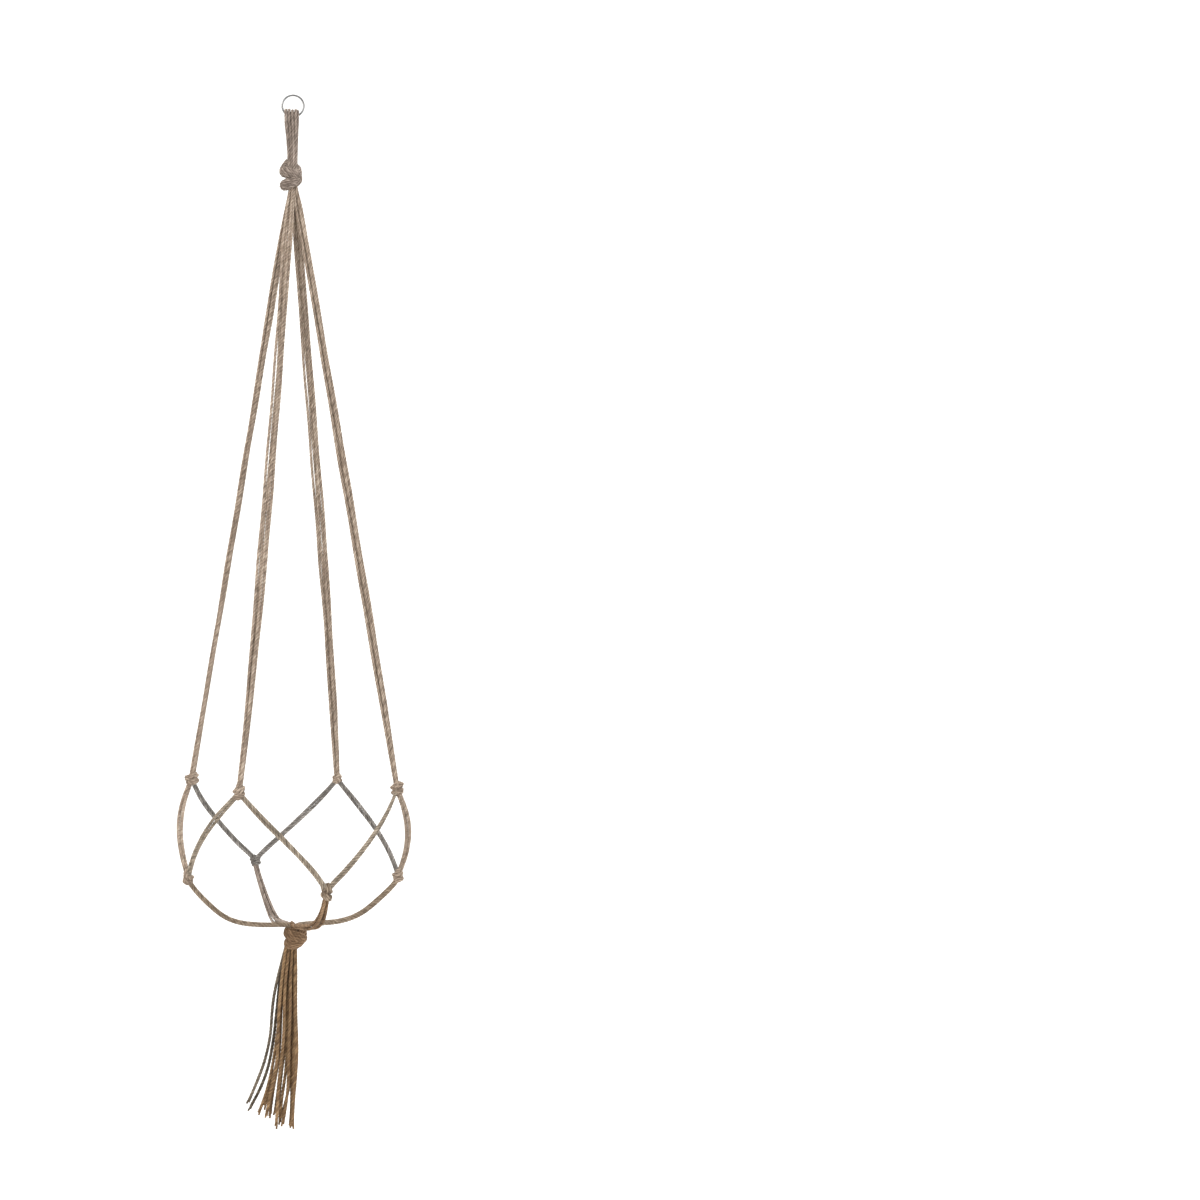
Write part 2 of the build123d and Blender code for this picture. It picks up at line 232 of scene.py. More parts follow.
def laid_cord_tree():
    """Geometry nodes that turn lines into three-ply cord with stray fibres."""
    tree = bpy.data.node_groups.new("laid_cord", "GeometryNodeTree")
    for name, kind in (
        ("Lines", "NodeSocketGeometry"),
        ("Cord diameter", "NodeSocketFloat"),
        ("Lay length", "NodeSocketFloat"),
        ("Ring spacing", "NodeSocketFloat"),
        ("Ply relief", "NodeSocketFloat"),
        ("Unevenness", "NodeSocketFloat"),
        ("Fibres per square metre", "NodeSocketFloat"),
        ("Fibre length", "NodeSocketFloat"),
        ("Seed", "NodeSocketInt"),
        ("Material", "NodeSocketMaterial"),
    ):
        tree.interface.new_socket(name, in_out="INPUT", socket_type=kind)
    tree.interface.new_socket("Cord", in_out="OUTPUT", socket_type="NodeSocketGeometry")
    given = add_node(tree, "NodeGroupInput").outputs

    def calculate(operation, first, second=0.0, third=0.0):
        """The result of a Math node."""
        return math_node(tree, operation, first, second, third)

    def store(geometry, name, value, kind="FLOAT", domain="POINT"):
        """The geometry with a named attribute."""
        inputs = {"Geometry": geometry, "Name": name, "Value": value}
        return add_node(
            tree, "GeometryNodeStoreNamedAttribute", inputs, data_type=kind, domain=domain
        ).outputs[0]

    strand = add_node(tree, "GeometryNodeInputNamedAttribute", {"Name": "strand"}).outputs[0]
    size = add_node(tree, "GeometryNodeInputNamedAttribute", {"Name": "size"}).outputs[0]
    line = add_node(tree, "GeometryNodeMeshToCurve", {"Mesh": given["Lines"]}).outputs[0]
    line = add_node(
        tree, "GeometryNodeResampleCurve", {"Curve": line, "Length": given["Ring spacing"]}, mode="LENGTH"
    ).outputs[0]
    along = add_node(tree, "GeometryNodeSplineParameter").outputs["Length"]
    line = store(line, "along", along)
    line = store(line, "run", add_node(tree, "GeometryNodeInputTangent").outputs[0], "FLOAT_VECTOR")
    turns = calculate("ADD", calculate("DIVIDE", along, given["Lay length"]), strand)
    tilt = calculate("MULTIPLY", turns, 2 * math.pi)
    line = add_node(tree, "GeometryNodeSetCurveTilt", {"Curve": line, "Tilt": tilt}).outputs[0]

    # Three lobes with sharp grooves: the outline of three plies laid together.
    outline = add_node(
        tree,
        "GeometryNodeCurvePrimitiveCircle",
        {"Resolution": 18, "Radius": calculate("MULTIPLY", given["Cord diameter"], 0.5)},
    ).outputs["Curve"]
    place = add_node(tree, "GeometryNodeInputPosition").outputs[0]
    split = add_node(tree, "ShaderNodeSeparateXYZ", {0: place}).outputs
    angle = calculate("ARCTAN2", split[1], split[0])
    wave = calculate("COSINE", calculate("MULTIPLY", angle, 1.5))
    lobe = calculate("POWER", calculate("ABSOLUTE", wave), 0.55)
    groove = calculate("MULTIPLY", calculate("SUBTRACT", 1.0, lobe), given["Ply relief"])
    shrink = calculate("SUBTRACT", 1.0, groove)
    # The "ply" attribute, 1 on the plies' crowns and 0 in their grooves, is the mask for the shade that the
    # material paints into the grooves.
    outline = store(outline, "ply", lobe)
    outline = store(outline, "around", angle)
    moved = add_node(tree, "ShaderNodeVectorMath", {0: place, "Scale": shrink}, operation="SCALE").outputs[0]
    outline = add_node(tree, "GeometryNodeSetPosition", {"Geometry": outline, "Position": moved}).outputs[0]

    seek = add_node(
        tree,
        "ShaderNodeCombineXYZ",
        {0: calculate("MULTIPLY", along, 90.0), 1: calculate("MULTIPLY", strand, 53.0)},
    ).outputs[0]
    noise = add_node(tree, "ShaderNodeTexNoise", {"Vector": seek, "Scale": 1.0, "Detail": 3.0}).outputs[0]
    uneven = calculate("MULTIPLY_ADD", calculate("SUBTRACT", noise, 0.5), given["Unevenness"], 1.0)
    fullness = calculate("MULTIPLY", size, uneven)
    cord = add_node(
        tree,
        "GeometryNodeCurveToMesh",
        {"Curve": line, "Profile Curve": outline, "Scale": fullness, "Fill Caps": True},
    ).outputs[0]
    cord = add_node(tree, "GeometryNodeSetShadeSmooth", {"Geometry": cord}).outputs[0]

    # Stray fibres: each a thin bent three-sided hair, rooted in the cord and lying mostly along it.
    hair_line = add_node(
        tree,
        "GeometryNodeCurveQuadraticBezier",
        {
            "Resolution": 3,
            "Start": (-0.10, 0.0, -0.06),
            "Middle": (0.45, 0.0, 0.10),
            "End": (1.0, 0.16, 0.50),
        },
    ).outputs[0]
    hair_outline = add_node(
        tree, "GeometryNodeCurvePrimitiveCircle", {"Resolution": 3, "Radius": 0.026}
    ).outputs[0]
    hair = add_node(
        tree,
        "GeometryNodeCurveToMesh",
        {"Curve": hair_line, "Profile Curve": hair_outline, "Scale": 1.0, "Fill Caps": True},
    ).outputs[0]
    scattered = add_node(
        tree,
        "GeometryNodeDistributePointsOnFaces",
        {"Mesh": cord, "Density": given["Fibres per square metre"], "Seed": given["Seed"]},
    ).outputs
    run = add_node(
        tree, "GeometryNodeInputNamedAttribute", {"Name": "run"}, data_type="FLOAT_VECTOR"
    ).outputs[0]
    facing = add_node(
        tree,
        "FunctionNodeAxesToRotation",
        {"Primary Axis": scattered["Normal"], "Secondary Axis": run},
        primary_axis="Z",
        secondary_axis="X",
    ).outputs[0]
    swing = add_node(
        tree,
        "FunctionNodeRandomValue",
        {"Min": (-0.25, -0.22, -1.0), "Max": (0.25, 0.22, 1.0), "Seed": given["Seed"]},
        data_type="FLOAT_VECTOR",
    ).outputs[0]
    swing = add_node(tree, "FunctionNodeEulerToRotation", {0: swing}).outputs[0]
    facing = add_node(
        tree, "FunctionNodeRotateRotation", {0: facing, 1: swing}, rotation_space="LOCAL"
    ).outputs[0]
    grow = add_node(
        tree, "FunctionNodeRandomValue", {2: 0.45, 3: 1.25, "Seed": given["Seed"]}, data_type="FLOAT"
    ).outputs[1]
    hairs = add_node(
        tree,
        "GeometryNodeInstanceOnPoints",
        {
            "Points": scattered["Points"],
            "Instance": hair,
            "Rotation": facing,
            "Scale": calculate("MULTIPLY", grow, given["Fibre length"]),
        },
    ).outputs[0]
    # The stray fibres' "ply" of 1.3 leaves them without painted groove shade and paints them a little lighter
    # than the plies' crowns.
    hairs = store(hairs, "ply", 1.3, domain="INSTANCE")
    joined = add_node(tree, "GeometryNodeJoinGeometry")
    tree.links.new(hairs, joined.inputs[0])
    tree.links.new(cord, joined.inputs[0])
    whole = add_node(tree, "GeometryNodeRealizeInstances", {0: joined.outputs[0]}).outputs[0]
    whole = add_node(
        tree, "GeometryNodeSetMaterial", {"Geometry": whole, "Material": given["Material"]}
    ).outputs[0]
    add_node(tree, "NodeGroupOutput", {0: whole})
    return tree


laid_cord = laid_cord_tree()


def jute(name, pale, middle, deep):
    """Twisted natural jute: dull, long-fibred, streaked from straw to brown, with painted shade in its
    grooves.
    """
    made, tree, shader = new_material(
        name,
        **{"Roughness": 0.86, "Specular IOR Level": 0.22, "Sheen Weight": 0.18, "Sheen Roughness": 0.45,
           "Sheen Tint": linear("#e6d6bd")},
    )

    def calculate(operation, first, second=0.0, third=0.0):
        """The result of a Math node."""
        return math_node(tree, operation, first, second, third)

    def attribute(called):
        """One of the attributes that the cord's tree stored."""
        return add_node(tree, "ShaderNodeAttribute", attribute_name=called).outputs["Fac"]

    def pattern(across, lengthwise, detail):
        """Noise stretched along the cord: the size of a mark across and along it, in metres."""
        vector = add_node(
            tree,
            "ShaderNodeCombineXYZ",
            {
                0: calculate("MULTIPLY", attribute("around"), cord_d / 2 / across),
                1: calculate("DIVIDE", attribute("along"), lengthwise),
                2: calculate("MULTIPLY", attribute("strand"), 71.0),
            },
        ).outputs[0]
        inputs = {"Vector": vector, "Scale": 1.0, "Detail": detail, "Roughness": 0.6}
        return add_node(tree, "ShaderNodeTexNoise", inputs).outputs[0]

    fibres = pattern(0.0003, 0.0045, 3.0)  # bundles of fibres, drawn coarser than single ones so they show
    patches = pattern(0.004, 0.035, 2.0)  # paler and browner lengths of yarn
    mixed = calculate("MULTIPLY_ADD", patches, 0.55, calculate("MULTIPLY", fibres, 0.45))
    ramp = add_node(tree, "ShaderNodeValToRGB", {0: mixed})
    stops = ramp.color_ramp.elements
    stops[0].position, stops[0].color = 0.34, linear(deep)
    stops[1].position, stops[1].color = 0.66, linear(pale)
    middle_stop = stops.new(0.50)
    middle_stop.color = linear(middle)
    # Painted shade: the colour is darkened in the grooves between the plies, to 0.45 of itself in a groove
    # and not at all on a crown.
    shade = calculate("MULTIPLY_ADD", attribute("ply"), 0.55, 0.45)
    grey = add_node(tree, "ShaderNodeCombineColor", {0: shade, 1: shade, 2: shade}).outputs[0]
    shaded = add_node(
        tree,
        "ShaderNodeMix",
        {0: 1.0, 6: ramp.outputs[0], 7: grey},
        data_type="RGBA",
        blend_type="MULTIPLY",
    ).outputs[2]
    tree.links.new(shaded, shader.inputs["Base Color"])
    bump = add_node(
        tree, "ShaderNodeBump", {"Strength": 0.7, "Distance": 0.00015, "Height": fibres}
    ).outputs[0]
    tree.links.new(bump, shader.inputs["Normal"])
    rough = calculate("MULTIPLY_ADD", fibres, 0.16, 0.76)
    tree.links.new(rough, shader.inputs["Roughness"])
    return made


leg_jute = jute("three-ply jute, pale undyed", "#cfbfad", "#9a8878", "#5f5348")


def line_of(points, resolution=16):
    """The smooth line of a cord, read from a NURBS curve with the route's points."""
    data = bpy.data.curves.new("route", "CURVE")
    data.dimensions = "3D"
    spline = data.splines.new("NURBS")
    spline.points.add(len(points) - 1)
    for spot, point in zip(spline.points, points):
        spot.co = (*point, 1.0)
    spline.order_u = 3
    spline.use_endpoint_u = True
    spline.resolution_u = resolution
    holder = bpy.data.objects.new("route", data)
    mesh = bpy.data.meshes.new_from_object(holder)
    found = np.array([v.co for v in mesh.vertices])
    bpy.data.objects.remove(holder)
    bpy.data.curves.remove(data)
    bpy.data.meshes.remove(mesh)
    return found


strands_made = 0


def cord_piece(name, lines, material, sizes=None, relief=0.30, fibres=60000.0, spacing=0.0011, hair=0.0019):
    """A piece of cord from its strands' lines, each with its own thickness along it."""
    global strands_made
    mesh = bpy.data.meshes.new(name)
    points = np.concatenate(lines)
    edges, first = [], 0
    strand, size = [], []
    for number, line in enumerate(lines):
        edges += [(first + i, first + i + 1) for i in range(len(line) - 1)]
        first += len(line)
        strand += [(strands_made * 0.618) % 1.0] * len(line)
        size += [1.0] * len(line) if sizes is None else list(sizes[number])
        strands_made += 1
    mesh.from_pydata(points.tolist(), edges, [])
    for called, values in (("strand", strand), ("size", size)):
        mesh.attributes.new(called, "FLOAT", "POINT").data.foreach_set("value", values)
    piece = bpy.data.objects.new(name, mesh)
    bpy.context.scene.collection.objects.link(piece)
    growth = piece.modifiers.new("laid_cord", "NODES")
    growth.node_group = laid_cord
    named = {item.name: item.identifier for item in laid_cord.interface.items_tree if item.in_out == "INPUT"}
    for called, value in (
        ("Cord diameter", cord_d * crown_share),
        ("Lay length", lay_length),
        ("Ring spacing", spacing),
        ("Ply relief", relief),
        ("Unevenness", 0.22),
        ("Fibres per square metre", fibres),
        ("Fibre length", hair),
        ("Seed", strands_made),
        ("Material", material),
    ):
        growth[named[called]] = value
    finished = bpy.data.meshes.new_from_object(piece.evaluated_get(bpy.context.evaluated_depsgraph_get()))
    piece.modifiers.clear()
    piece.data = finished
    finished.name = name
    bpy.data.meshes.remove(mesh)
    return piece


def side_directions(line, outward):
    """At each point of a line: the direction across the bundle, and the one out of it."""
    run = np.gradient(line, axis=0)
    run /= np.linalg.norm(run, axis=1)[:, None]
    across = np.cross(run, outward)
    across /= np.linalg.norm(across, axis=1)[:, None]
    return across, np.cross(across, run)


def from_axis(line):
    """The level direction away from the hanger's axis at each point."""
    level = line * (1.0, 1.0, 0.0)
    return level / np.linalg.norm(level, axis=1)[:, None]


# Loops over the ring: the middles of the eight cords. Four lie on the wire and four in the grooves
# between them, so that sixteen strands hang down side by side to the crown knot.
crown_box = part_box("crown_knot")
crown_top = crown_box[1].z
inner_loop = ring_wire + 0.0009 + cord_d / 2
outer_loop = inner_loop + pitch_across
foot_pitch = 0.0029  # pressed together where they enter the knot
loop_feet = [(n - 1.7) * foot_pitch for n in range(4)]
# Greyer tone, and darker as painted shade: a copy of the jute for the loops and the crown knot, where the
# cords are packed tight.
crown_jute = jute("three-ply jute, greyer, darker with painted shade", "#b9aa9f", "#897b71", "#4c423b")


def on_wire(x):
    """Height of a cord's middle where it lies over the ring's lower wire at x."""
    return ring_centre - math.sqrt(ring_radius**2 - x**2) + inner_loop


# Each loop: x on the ring, half width, top of its centreline. The outermost two of the four on the
# wire are slack, to swing where the wire rises.
groove_rise = 0.0024
slack = 0.0009
loop_seats = [
    (-0.0049, inner_loop + slack, on_wire(-0.0049) + slack),
    (-0.0016, inner_loop, on_wire(-0.0016) + 0.0002),
    (0.0019, inner_loop, on_wire(0.0019) + 0.0002),
    (0.0053, inner_loop + slack, on_wire(0.0053) + slack),
    (-0.0083, outer_loop, on_wire(-0.0083) + 0.0001),
    (-0.0045, outer_loop, on_wire(-0.0045) + groove_rise),
    (-0.0007, outer_loop, on_wire(-0.0007) + groove_rise),
    (0.0031, outer_loop, on_wire(0.0031) + groove_rise),
]
inside_knot = 0.011  # how far the strands run on inside the crown knot
for number, (x, half_width, top) in enumerate(loop_seats):
    foot_x = loop_feet[number % 4]
    foot_y = 0.0015 if number < 4 else 0.0046
    side = [
        (foot_x * 0.9, -foot_y * 0.85, crown_top - inside_knot),
        (foot_x * 0.97, -foot_y * 0.95, crown_top),
        (foot_x * 1.02, -foot_y * 1.05, crown_top + 0.012),
        ((x + foot_x) / 2, -(half_width + foot_y) / 2, crown_top + 0.033),
        (x, -half_width, top - half_width - 0.006),
        (x, -half_width, top - half_width + 0.0007),
        (x, -half_width * 0.98, top),
    ]
    route = side + [(x, -y, z) for x, y, z in reversed(side)]
    line = line_of(route)
    loop = cord_piece(f"loop_cord_{number + 1}", [line], crown_jute)
    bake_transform(loop)
    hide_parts(f"top_loop_{number + 1}")

# The crown knot: all sixteen strands tied in one overhand knot under the loops, pulled tight, so that
# the strands sweep round it side by side as two broad bands. It gathers the loops and spreads the legs.
# The knot's line has x to the right, y to the back and z up, in half widths and half heights.
overhand_line = [
    (0.00, -0.10, 0.85),
    (-0.10, -0.60, 0.55),
    (-0.60, -0.70, 0.22),
    (-0.92, -0.05, 0.10),
    (-0.45, 0.70, -0.02),
    (0.40, 0.75, -0.12),
    (0.92, 0.15, -0.25),
    (0.55, -0.72, -0.38),
    (-0.30, -0.80, -0.55),
    (-0.92, -0.15, -0.55),
    (-0.40, 0.60, -0.40),
    (0.35, 0.70, 0.20),
    (0.85, 0.25, 0.62),
    (0.45, -0.35, 0.40),
    (0.05, 0.00, -0.10),
    (0.10, 0.00, -0.68),
]


def round_places(number, radius, start):
    """Places of strands evenly round a circle."""
    angles = [math.radians(start + 360 * n / number) for n in range(number)]
    return [(radius * math.cos(a), radius * math.sin(a)) for a in angles]


fourfold = round_places(4, 0.0020, 45)
sixteenfold = round_places(5, 0.0019, 0) + round_places(11, 0.0047, 18)


def carried_directions(line):
    """Two directions across a line, carried along it without twisting."""
    run = np.gradient(line, axis=0)
    run /= np.linalg.norm(run, axis=1)[:, None]
    across = np.cross(run[0], (0.0, 1.0, 0.0))
    found = []
    for step in run:
        across = across - step * across.dot(step)
        across = across / np.linalg.norm(across)
        found.append((across.copy(), np.cross(step, across)))
    return np.array(found)


def tie(name, node, middle, size, material, places, strand_size, turn=0.0, mirrored=False, nub=1.0):
    """An overhand knot of a bundle's strands, of this width, depth and height, for a CAD knot."""
    spots = []
    for x, y, z in overhand_line:
        if x < -0.9 and z > 0:
            x *= nub  # the bight that stands out
        spots.append((-x if mirrored else x, y, z))
    line = line_of(spots, resolution=9)
    reach = max(math.hypot(*spot) for spot in places) + strand_size * cord_d / 2
    body = line[len(line) // 8:-len(line) // 8]
    low, high = body.min(axis=0), body.max(axis=0)
    line = (line - (low + high) / 2) / (high - low) * (np.array(size) - 2 * reach)
    spin = np.array(Matrix.Rotation(math.radians(turn), 3, "Z"))
    line = line @ spin.T + np.array(middle)
    ways = carried_directions(line)
    lines = [line + ways[:, 0] * a + ways[:, 1] * b for a, b in places]
    sizes = [[strand_size] * len(line)] * len(lines)
    knot = cord_piece(name, lines, material, sizes=sizes, spacing=0.0012)
    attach(knot, "harness")
    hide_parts(node)


crown_middle = (crown_box[0] + crown_box[1]) / 2 + Vector((-0.0026, 0.0, 0.0))
crown_size = (0.0272, 0.0266, 0.0335)
tie("crown_overhand", "crown_knot", crown_middle, crown_size, crown_jute, sixteenfold, 0.90, -114, True)

# The legs: four strands each, straight and tight from the crown knot down to a shoulder knot. The
# strands lie side by side, twist slowly round each other and open a little between the knots.


def run_shares(line):
    """How far along a line each of its points is, in metres and as a share of its length."""
    far = np.concatenate([[0.0], np.cumsum(np.linalg.norm(np.diff(line, axis=0), axis=1))])
    return far, far / far[-1]


def bundle(line, outward, offsets, opening, start=0.0, twist=0.0, wander=0.0003):
    """Lines of strands along a line: offsets across and out of it, opened by a factor along it."""
    across, out = side_directions(line, outward)
    far, share = run_shares(line)
    factor = np.interp(share, np.linspace(0, 1, len(opening)), opening)
    turn = np.radians(start + twist * share)
    found = []
    for number, (a, b) in enumerate(offsets):
        roam = wander * np.sin(share * math.pi) * np.sin(far / 0.019 + 2.4 * number)
        drift = wander * np.sin(share * math.pi) * np.sin(far / 0.027 + 1.7 * number + 1.0)
        sideways = (a * np.cos(turn) - b * np.sin(turn)) * factor + roam
        outwards = (a * np.sin(turn) + b * np.cos(turn)) * factor + drift
        found.append(line + across * sideways[:, None] + out * outwards[:, None])
    return found


def place(azimuth, radius, height):
    """A point from its azimuth in degrees, its distance from the axis and its height."""
    turn = math.radians(azimuth)
    return Vector((radius * math.cos(turn), radius * math.sin(turn), height))


def middle_of(node):
    """The middle of a CAD node's box."""
    low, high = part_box(node)
    return (low + high) / 2


basket_radius = 0.132
shoulder_level = -0.793
crown_bottom = crown_box[0].z
# Each leg: its azimuth, the sideways bow of its upper, middle and lower part, how far two strands part
# from the first one and where, and how far the outer strands stand from the middle, in millimetres, as
# seen from the front at shares of the length.
legs = {
    "left": (
        155, (0.0009, 0.0009, 0.0), 0.0, 0.5,
        [(0, 0.8), (0.05, 1.9), (0.15, 2.9), (0.23, 3.2), (0.27, 2.5), (0.32, 2.3), (0.42, 2.0), (0.52, 2.1),
         (0.63, 2.1), (0.72, 1.6), (0.87, 1.4), (0.96, 2.0), (1, 2.0)],
    ),
    "front": (
        245, (0.0026, 0.0036, 0.0024), 0.0013, 0.37,
        [(0, 1.2), (0.04, 3.3), (0.07, 4.2), (0.10, 4.5), (0.15, 4.0), (0.23, 3.8), (0.32, 4.0), (0.42, 4.1),
         (0.52, 4.3), (0.63, 4.5), (0.72, 3.9), (0.86, 2.6), (0.96, 1.8), (1, 1.6)],
    ),
    "right": (
        335, (0.0, 0.0006, 0.0004), 0.0, 0.5,
        [(0, 0.9), (0.04, 3.2), (0.10, 2.8), (0.23, 3.0), (0.32, 2.9), (0.42, 3.6), (0.52, 3.5), (0.63, 3.3),
         (0.73, 3.5), (0.87, 2.8), (0.96, 1.8), (1, 1.5)],
    ),
    "rear": (
        65, (0.0004, 0.0029, 0.0012), 0.0009, 0.38,
        [(0, 1.2), (0.04, 2.6), (0.07, 3.8), (0.10, 4.1), (0.15, 3.8), (0.23, 4.1), (0.32, 4.4), (0.42, 4.3),
         (0.52, 4.5), (0.63, 4.5), (0.73, 3.4), (0.87, 3.6), (0.96, 2.6), (1, 1.8)],
    ),
}
across_share = (-1, -1 / 3, 1 / 3, 1)
deep_share = (1 / 3, -1, 1, -1 / 3)
part_share = (0, 1, 0.5, 0)
touching = 0.0030  # between the middles of strands pressed together
for name, (azimuth, bows, parting, parted_at, widths) in legs.items():
    shoulder = middle_of(f"shoulder_knot_{name}")
    top = place(azimuth, 0.0028, crown_bottom + 0.008)
    into = (shoulder - top).normalized()
    end = shoulder - into * 0.0015
    route = [
        top,
        place(azimuth, 0.0033, crown_bottom - 0.002),
        top.lerp(end, 0.09),
        top.lerp(end, 0.32) + Vector((bows[0], 0, 0)),
        top.lerp(end, 0.66) + Vector((bows[1], 0, 0)),
        top.lerp(end, 0.93) + Vector((bows[2], 0, 0)),
        end,
    ]
    line = line_of(route, resolution=24)
    far, share = run_shares(line)
    across, out = side_directions(line, np.tile((0.0, -1.0, 0.0), (len(line), 1)))
    wide = np.interp(share, [a for a, _ in widths], [w / 1000 for _, w in widths])
    apart = parting * np.exp(-(((share - parted_at) / 0.11) ** 2))
    # The strands touch each other, so a narrow leg is deep and a wide one is flat.
    beside = np.sqrt(np.maximum(0, touching**2 - (wide * 4 / 3) ** 2)) * 1.5
    behind = np.sqrt(np.maximum(0, touching**2 - (wide * 2 / 3) ** 2)) * 0.75
    deep = np.maximum(np.maximum(beside, behind), apart * 0.8) * np.interp(share, (0, 0.05, 1), (0.5, 1, 1))
    strands = []
    for number in range(4):
        sideways = across_share[number] * wide + part_share[number] * apart
        outwards = deep_share[number] * deep
        sideways = sideways + 0.0003 * np.sin(far / 0.019 + 2.4 * number) * np.sin(share * math.pi)
        strands.append(line - across * sideways[:, None] + out * outwards[:, None])
    squeeze = np.interp(share, (0.0, 0.03, 0.12, 1.0), (0.76, 0.86, 1.0, 1.0))
    leg = cord_piece(f"leg_cords_{name}", strands, leg_jute, sizes=[squeeze] * 4, fibres=55000.0,
                     spacing=0.0013, hair=0.0015)
    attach(leg, "harness")
    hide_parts(f"leg_{name}")

# The shoulder knots: each leg's four strands tied in one small overhand knot, level with the pot's
# rim. Each was pulled by hand, so no two sit alike, and a tight bight stands out at one side.
net_jute = jute("three-ply jute, khaki length", "#bfb2a0", "#8d8071", "#565044")
knot_strand = 1.08  # the strands' thickness in a small knot
shoulder_ties = {
    "left": ((0.0186, 0.0144, 0.0160), 12, False, 1.45),
    "front": ((0.0142, 0.0130, 0.0176), -8, False, 1.35),
    "rear": ((0.0132, 0.0126, 0.0138), 160, True, 1.15),
    "right": ((0.0160, 0.0136, 0.0172), -14, False, 1.25),
}
for name, (size, turn, mirrored, nub) in shoulder_ties.items():
    node = f"shoulder_knot_{name}"
    tie(f"shoulder_overhand_{name}", node, middle_of(node), size, leg_jute, fourfold, knot_strand, turn,
        mirrored, nub)

# The net: under each shoulder knot the four strands part into two pairs, and each pair swings across to
# meet its neighbour's. The pairs lie flat, side by side, in gentle uneven bows round the pot's place.
net_routes = {
    ("left", "left_front"): [
        (156.6, 0.0015, 0.004), (166, 0.002, 0.027), (178.5, 0.0, 0.052),
        (190, -0.003, 0.076), (198.2, -0.006, 0.097),
    ],
    ("left", "rear_left"): [
        (153.4, 0.0015, 0.004), (144, 0.003, 0.028), (132, 0.004, 0.055),
        (120.5, 0.005, 0.082), (111.8, 0.0045, 0.1),
    ],
    ("front", "left_front"): [
        (243.4, 0.0055, 0.004), (233, 0.004, 0.026), (222, 0.001, 0.05),
        (211, -0.003, 0.075), (201.8, -0.006, 0.097),
    ],
    ("front", "front_right"): [
        (246.6, 0.005, 0.004), (257, 0.002, 0.03), (269, -0.005, 0.058),
        (280, -0.014, 0.083), (288, -0.0225, 0.103),
    ],
    ("right", "front_right"): [
        (333.4, -0.0035, 0.006), (323, -0.005, 0.032), (311.5, -0.01, 0.06),
        (300.5, -0.017, 0.086), (292, -0.023, 0.103),
    ],
    ("right", "right_rear"): [
        (336.6, -0.003, 0.006), (346, -0.0005, 0.029), (357.5, 0.0015, 0.056),
        (369, 0.0015, 0.083), (378.2, 0.0005, 0.107),
    ],
    ("rear", "right_rear"): [
        (63.4, -0.0035, 0.009), (54, -0.001, 0.032), (42, 0.001, 0.059),
        (31, 0.0015, 0.085), (21.8, 0.0005, 0.107),
    ],
    ("rear", "rear_left"): [
        (66.6, -0.0035, 0.009), (76, -0.001, 0.031), (87, 0.0015, 0.056),
        (98.5, 0.0035, 0.08), (108.2, 0.004, 0.1),
    ],
}
# For each pair: how far its strands stand apart along it, and its turn out of flat, start and twist.
pair_sets = {
    ("left", "left_front"): ((0.72, 1.04, 1.08, 1.04, 0.72), 92, 0),
    ("left", "rear_left"): ((0.72, 0.86, 0.88, 0.90, 0.72), -32, 40),
    ("front", "left_front"): ((0.72, 0.90, 0.92, 0.90, 0.72), 28, 12),
    ("front", "front_right"): ((0.72, 0.90, 0.92, 0.92, 0.72), -10, -18),
    ("right", "front_right"): ((0.72, 0.90, 0.92, 0.94, 0.72), 24, -30),
    ("right", "right_rear"): ((0.72, 1.04, 1.08, 1.04, 0.72), 88, 0),
    ("rear", "right_rear"): ((0.72, 0.90, 0.92, 0.90, 0.72), 5, 25),
    ("rear", "rear_left"): ((0.72, 0.90, 0.92, 0.90, 0.72), -15, 20),
}
# Painted shade: a greyer and darker copy of the jute for the cords at the back, shaded as by the pot that is
# left out.
rear_jute = jute("three-ply jute, greyer length", "#b0aaa4", "#7a7570", "#4c4845")
half = pitch_across / 2
for (shoulder, side), points in net_routes.items():
    route = [place(azimuth, basket_radius + out, shoulder_level - drop) for azimuth, out, drop in points]
    route = [middle_of(f"shoulder_knot_{shoulder}"), *route, middle_of(f"side_knot_{side}")]
    line = line_of(route, resolution=16)
    opening, start, twist = pair_sets[shoulder, side]
    strands = bundle(line, from_axis(line), [(half, 0.0), (-half, 0.0)], opening, start, twist)
    # The pairs at the back take the copy with painted shade.
    material = rear_jute if "rear" in (shoulder, side[:4]) else net_jute
    loose = (shoulder, side) in (("left", "left_front"), ("right", "right_rear"))
    if loose:
        material = leg_jute
    thick = [1.18 if loose else 1.05] * len(line)
    name = f"{shoulder}_to_{side}"
    pair = cord_piece(f"net_cords_{name}", strands, material, sizes=[thick] * 2)
    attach(pair, "harness")
    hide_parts(f"net_{name}")

# The side knots: where two neighbouring pairs meet they are tied together, four strands in an
# overhand knot, a hand's breadth under the shoulders. Below it the four run on as one bundle.
base_jute = jute("three-ply jute, browner length", "#a88a6c", "#755b43", "#463426")
dull_jute = jute("three-ply jute, dull brown length", "#b3a18c", "#80705f", "#504437")
side_ties = {
    "left_front": ((0.0140, 0.0124, 0.0160), -10, True, 1.4, leg_jute),
    "front_right": ((0.0138, 0.0130, 0.0196), 15, True, 1.0, dull_jute),
    "right_rear": ((0.0152, 0.0128, 0.0160), 10, False, 1.4, leg_jute),
    # The knot at the back takes the copy with painted shade.
    "rear_left": ((0.0148, 0.0126, 0.0146), -15, False, 1.5, rear_jute),
}
for name, (size, turn, mirrored, nub, material) in side_ties.items():
    node = f"side_knot_{name}"
    tie(f"side_overhand_{name}", node, middle_of(node), size, material, fourfold, knot_strand, turn,
        mirrored, nub)

